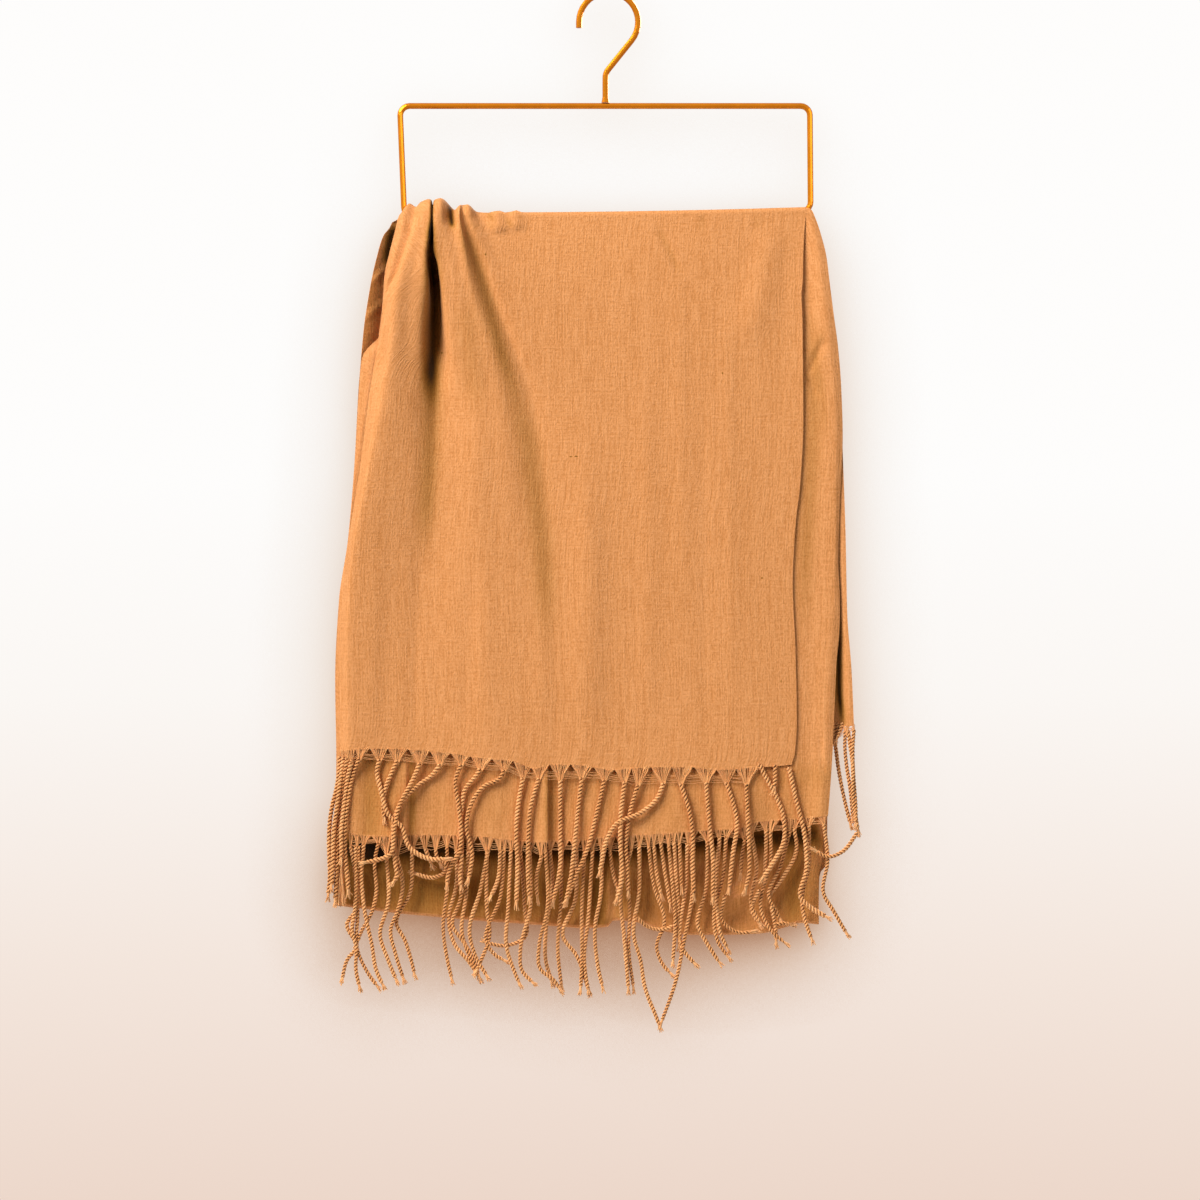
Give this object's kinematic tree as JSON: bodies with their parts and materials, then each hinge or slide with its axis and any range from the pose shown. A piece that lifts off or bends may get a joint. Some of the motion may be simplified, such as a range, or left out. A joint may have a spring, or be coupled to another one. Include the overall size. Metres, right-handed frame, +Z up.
{
  "type": "hijab shawl on a wire hanger",
  "caption": "Tan woven hijab shawl with twisted fringe, folded and draped over the lower bar of a flat rectangular wire hanger with a round hook.",
  "frame": {"origin": "inner crest of the hook's round arch, where a rail or wall hook bears on it", "axes": "+Z up; the shawl's front faces -Y; +X to the right when looking at the front"},
  "size_m": [0.3965, 0.0412, 0.7795],
  "materials": {
    "painted_wire": "glossy copper-orange metallic paint on steel wire",
    "woven_cloth": "fine plain weave with upright slubs and a slight sheen, warm tan",
    "twisted_fringe": "two-ply twisted yarn cords with small frayed tips, warm tan"
  },
  "bodies": {
    "root": {"hanger_frame": "painted_wire", "hanger_hook": "painted_wire", "front_panel": "woven_cloth", "second_panel": "woven_cloth", "third_panel": "woven_cloth", "back_outer": "woven_cloth", "back_inner": "woven_cloth", "fringe_front": "twisted_fringe", "fringe_second": "twisted_fringe", "fringe_third": "twisted_fringe"}
  },
  "joints": []
}
